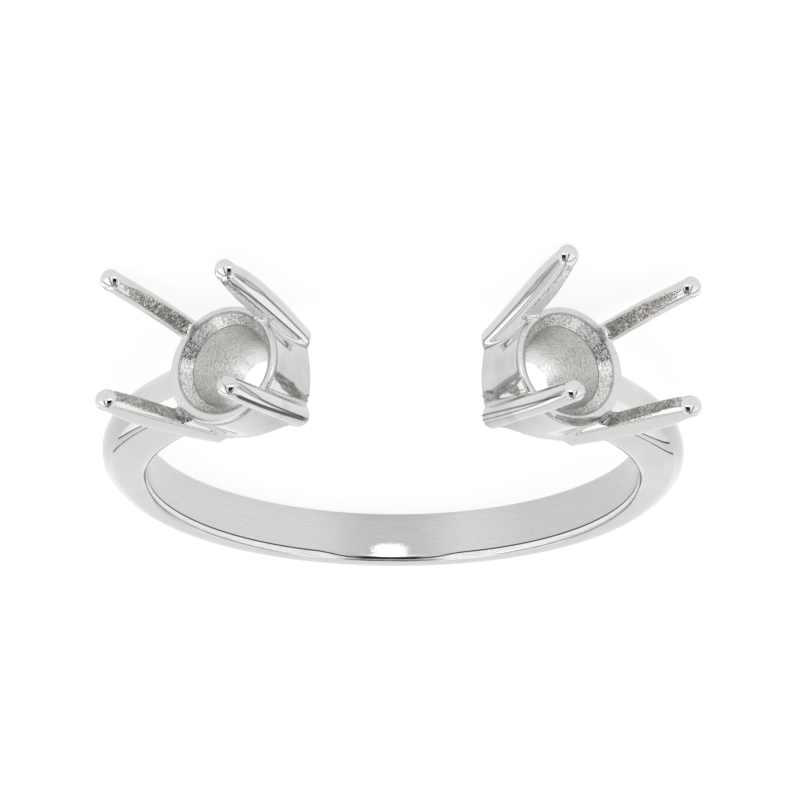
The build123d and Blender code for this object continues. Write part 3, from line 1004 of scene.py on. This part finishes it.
def makeCamera():
    tilt, roll, turn = (math.radians(view[k]) for k in ("tilt", "roll", "turn"))
    across = np.array([1.0, 0, 0])
    upward = np.array([0, math.sin(tilt), math.cos(tilt)])
    towards = np.array([0, -math.cos(tilt), math.sin(tilt)])
    half = view["imageSide"] / 2
    shiftX = (half - view["middle"][0]) / view["pixelsPerMm"]
    shiftY = (view["middle"][1] - half) / view["pixelsPerMm"]
    rightWay = math.cos(roll) * across + math.sin(roll) * upward
    upWay = -math.sin(roll) * across + math.cos(roll) * upward
    place = shiftX * across + shiftY * upward + view["distance"] * towards
    c, s = math.cos(turn), math.sin(turn)
    back = np.array([[c, 0, -s], [0, 1, 0], [s, 0, c]])      # undoes the photo's turn in the ring's plane
    place, rightWay, upWay, towards = (back @ v for v in (place, rightWay, upWay, towards))
    columns = [v @ ringTurn for v in (rightWay, upWay, towards)] + [toRow(place)]
    data = bpy.data.cameras.new("camera")
    data.sensor_width = view["sensor"]
    data.lens = view["sensor"] * view["distance"] / (view["imageSide"] / view["pixelsPerMm"])
    data.clip_start, data.clip_end = 0.01, 20
    camera = bpy.data.objects.new("camera", data)
    camera.matrix_world = Matrix([*np.transpose(columns).tolist(), (0, 0, 0, 1)])
    bpy.context.scene.collection.objects.link(camera)
    bpy.context.scene.camera = camera
    return camera


camera = makeCamera()

# Studio: a white tent round the table. Directions are given from the camera's place: right, up, towards it.
# A wall covers what lies past every edge (direction, height over it); a seam is a dark line where two cloths meet.
front, floorUp = (0, 0, 1), (0, -0.9395, 0.3426)
leftWall, rightWall = (-0.5525, 0.8026, 0.2242), (0.7015, 0.518, 0.488)
tent = {
    "back": 0.98, "edgeSoft": 0.012,
    "walls": [([(front, 0.0)], 1.42), ([(leftWall, 0.0), (floorUp, 0.0)], 1.42),
              ([(rightWall, 0.0), (floorUp, 0.0)], 1.22)],
    # direction across the seam, its offset and half width, and the edges past which it shows
    "seams": [*[(wall, offset, half, [(floorUp, -0.12)])
                for wall in (leftWall, rightWall) for offset, half in ((0.0, 0.013), (-0.14, 0.010))],
              *[(way, 0.0, 0.045, [(front, 0.0)]) for way in ((1, -0.45, -0.75), (-1, -0.45, -0.75), (0, 1, 0.8))],
              ((0, 1, 1.6), 0.0, 0.02, [(front, 0.0), ((1, 0, 0.45), 0.0), ((-1, 0, 0.45), 0.0)])],
    "seamLight": 0.08,
    # windows: middle right and up, half sizes, radiance; their soft edge, and how far forward they begin
    "windows": [(0, -0.40, 0.36, 0.27, 0.30), (0, 0.07, 0.36, 0.23, 0.02), (0, 0.40, 0.22, 0.11, 3.5)],
    "windowSoft": 0.015, "windowStart": 0.03,
}


def makeStudio():
    world = bpy.data.worlds.new("studio")
    bpy.context.scene.world = world
    world.use_nodes = True
    tree = world.node_tree
    way = addNode(tree, "ShaderNodeTexCoord").outputs["Generated"]
    frameWays = [camera.matrix_world.to_3x3() @ Vector(v) for v in ((1, 0, 0), (0, 1, 0), (0, 0, 1))]

    def along(weights):
        # How far a direction points along a mix of the three camera ways
        mixed = sum((w * f for w, f in zip(Vector(weights).normalized(), frameWays)), Vector())
        return vectorMath("DOT_PRODUCT", way, {1: mixed})["Value"]

    def past(edges):
        soft = tent["edgeSoft"]
        return times(*(fade(along(weights), height - soft, height + soft) for weights, height in edges))

    def blend(share, before, after):
        change = after - before if isinstance(before, float) else calc("SUBTRACT", after, before)
        return calc("MULTIPLY_ADD", share, change, before)

    def within(value, middle, half, soft):
        return fade(calc("ABSOLUTE", calc("SUBTRACT", value, middle)), half + soft, half - soft)

    light = tent["back"]
    for edges, level in tent["walls"]:
        light = blend(past(edges), light, level)
    for across, offset, half, edges in tent["seams"]:
        line = times(within(along(across), offset, half, half * 0.4), past(edges))
        light = blend(line, light, tent["seamLight"])
    depth = calc("MAXIMUM", along((0, 0, 1)), 0.01)
    sideways, upwards = (calc("DIVIDE", along(v), depth) for v in ((1, 0, 0), (0, 1, 0)))
    for x, y, halfX, halfY, radiance in tent["windows"]:
        inside = times(*(within(value, middle, half, tent["windowSoft"])
                                    for value, middle, half in ((sideways, x, halfX), (upwards, y, halfY))))
        light = blend(times(inside, past([(front, tent["windowStart"])])), light, radiance)
    setInputs(tree.nodes["Background"], {"Strength": light, "Color": (1, 1, 1, 1)})


bpy.context.scene.view_settings.view_transform = "Standard"
makeStudio()
